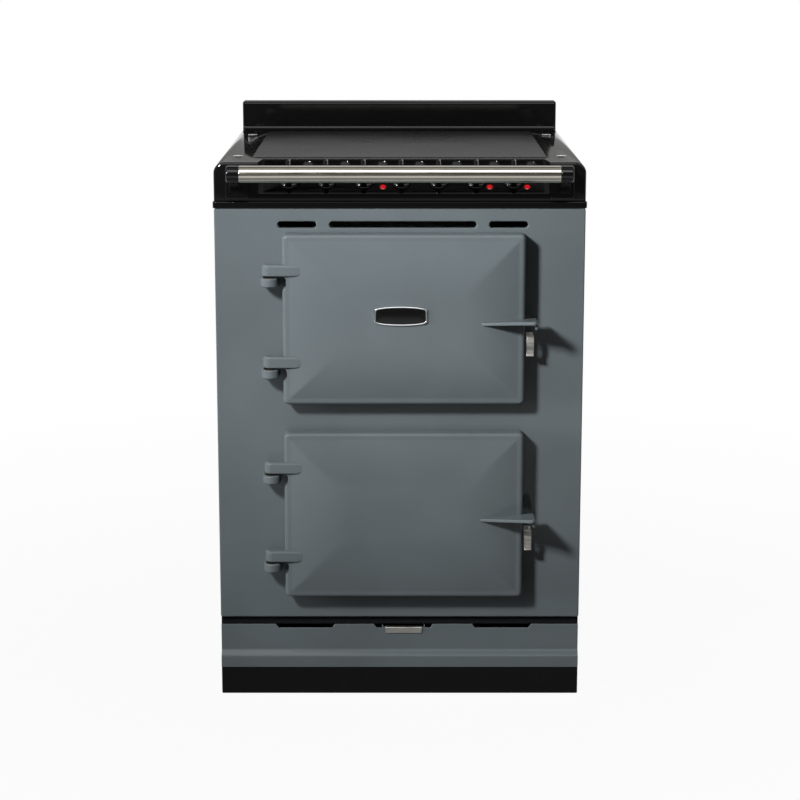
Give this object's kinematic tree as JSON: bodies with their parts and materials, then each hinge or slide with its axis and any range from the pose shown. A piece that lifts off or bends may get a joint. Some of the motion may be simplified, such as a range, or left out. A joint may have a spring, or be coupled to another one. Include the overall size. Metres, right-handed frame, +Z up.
{
  "type": "cast iron range cooker",
  "caption": "Free-standing enamelled cast iron range cooker with side-hung oven doors, a glass hob, a sloping control fascia and a handrail.",
  "frame": {"origin": "on the floor, under the middle of the range's overall footprint", "axes": "+X to the right as seen from the front, +Y to the back, +Z up"},
  "size_m": [0.6, 0.688, 0.9443],
  "materials": {
    "slate_enamel": "gloss grey vitreous enamel on cast iron",
    "slate_sheet": "gloss grey vitreous enamel on folded sheet",
    "black_enamel": "gloss black vitreous enamel on cast iron",
    "black_sheet": "gloss black vitreous enamel on sheet",
    "satin_black": "satin black paint",
    "hob_glass": "polished black glass ceramic",
    "nickel": "satin polished nickel plate",
    "chrome": "bright plate",
    "steel": "plain sprung steel",
    "galvanised": "dull zinc coated sheet",
    "oven_enamel": "speckled dark oven enamel",
    "red_lens": "moulded clear red",
    "smoked_lens": "moulded dark grey",
    "brass": "turned brass",
    "rope": "braided glass fibre rope",
    "mica": "pressed mineral fibre",
    "black_plastic": "moulded black thermoset",
    "element_steel": "heat-darkened steel sheath"
  },
  "bodies": {
    "range_body": {"back_panel": "galvanised", "base_tray": "galvanised", "control_fascia": "black_sheet", "door_catch_bottom": "steel", "door_catch_top": "steel", "element_tray": "galvanised", "fan_baffle": "oven_enamel", "fan_motor": "galvanised", "front_plate": "slate_enamel", "grill_element": "element_steel", "handrail_tube": "nickel", "hinge_pin_bottom_lower": "brass", "hinge_pin_bottom_upper": "brass", "hinge_pin_top_lower": "brass", "hinge_pin_top_upper": "brass", "hob_element_1": "mica", "hob_element_2": "mica", "hob_element_3": "mica", "hob_element_4": "mica", "hob_glass": "hob_glass", "indicator_strip": "smoked_lens", "levelling_foot_back_left": "galvanised", "levelling_foot_back_right": "galvanised", "levelling_foot_front_left": "galvanised", "levelling_foot_front_right": "galvanised", "lower_panel": "slate_sheet", "neon_strip": "red_lens", "oven_liner_bottom": "oven_enamel", "oven_liner_top": "oven_enamel", "oven_shelf_bottom": "chrome", "oven_shelf_top": "chrome", "plinth": "satin_black", "rail_bracket_left": "black_enamel", "rail_bracket_right": "black_enamel", "rear_upstand": "black_enamel", "side_panel_left": "slate_sheet", "side_panel_right": "slate_sheet", "switch_bank": "black_plastic", "terminal_block": "black_plastic", "top_cap_back_left": "chrome", "top_cap_back_right": "chrome", "top_cap_front_left": "chrome", "top_cap_front_right": "chrome", "top_plate": "black_enamel"},
    "door_top": {"door_badge": "chrome", "door_casting_top": "slate_enamel", "door_liner_top": "oven_enamel", "door_seal_top": "rope"},
    "door_bottom": {"door_casting_bottom": "slate_enamel", "door_liner_bottom": "oven_enamel", "door_seal_bottom": "rope"},
    "slide_out_plate": {"slide_out_plate": "steel"},
    "fan_wheel": {"fan_wheel": "steel"},
    "knob_1": {"knob_1": "black_plastic"},
    "knob_2": {"knob_2": "black_plastic"},
    "knob_3": {"knob_3": "black_plastic"},
    "knob_4": {"knob_4": "black_plastic"},
    "knob_5": {"knob_5": "black_plastic"},
    "knob_6": {"knob_6": "black_plastic"},
    "knob_7": {"knob_7": "black_plastic"}
  },
  "joints": [
    {"name": "door_top_hinge", "type": "hinge", "parent": "range_body", "child": "door_top", "pos_m": [-0.2085, -0.284, 0.641], "axis": [0, 0, -1], "range_deg": [0, 115]},
    {"name": "door_bottom_hinge", "type": "hinge", "parent": "range_body", "child": "door_bottom", "pos_m": [-0.2085, -0.284, 0.317], "axis": [0, 0, -1], "range_deg": [0, 115]},
    {"name": "knob_1_turn", "type": "hinge", "parent": "range_body", "child": "knob_1", "pos_m": [-0.178, -0.23782, 0.85918], "axis": [0, -0.7071, 0.7071], "range_deg": [0, 300]},
    {"name": "knob_2_turn", "type": "hinge", "parent": "range_body", "child": "knob_2", "pos_m": [-0.118, -0.23782, 0.85918], "axis": [0, -0.7071, 0.7071], "range_deg": [0, 300]},
    {"name": "knob_3_turn", "type": "hinge", "parent": "range_body", "child": "knob_3", "pos_m": [-0.058, -0.23782, 0.85918], "axis": [0, -0.7071, 0.7071], "range_deg": [0, 300]},
    {"name": "knob_4_turn", "type": "hinge", "parent": "range_body", "child": "knob_4", "pos_m": [0.002, -0.23782, 0.85918], "axis": [0, -0.7071, 0.7071], "range_deg": [0, 300]},
    {"name": "knob_5_turn", "type": "hinge", "parent": "range_body", "child": "knob_5", "pos_m": [0.062, -0.23782, 0.85918], "axis": [0, -0.7071, 0.7071], "range_deg": [0, 300]},
    {"name": "knob_6_turn", "type": "hinge", "parent": "range_body", "child": "knob_6", "pos_m": [0.122, -0.23782, 0.85918], "axis": [0, -0.7071, 0.7071], "range_deg": [0, 300]},
    {"name": "knob_7_turn", "type": "hinge", "parent": "range_body", "child": "knob_7", "pos_m": [0.182, -0.23782, 0.85918], "axis": [0, -0.7071, 0.7071], "range_deg": [0, 300]},
    {"name": "slide_out_plate_slide", "type": "slide", "parent": "range_body", "child": "slide_out_plate", "axis": [0, -1, 0], "range_m": [0, 0.06]},
    {"name": "fan_spin", "type": "hinge", "parent": "range_body", "child": "fan_wheel", "pos_m": [0.0065, 0.1758, 0.317], "axis": [0, -1, 0], "continuous": true}
  ]
}
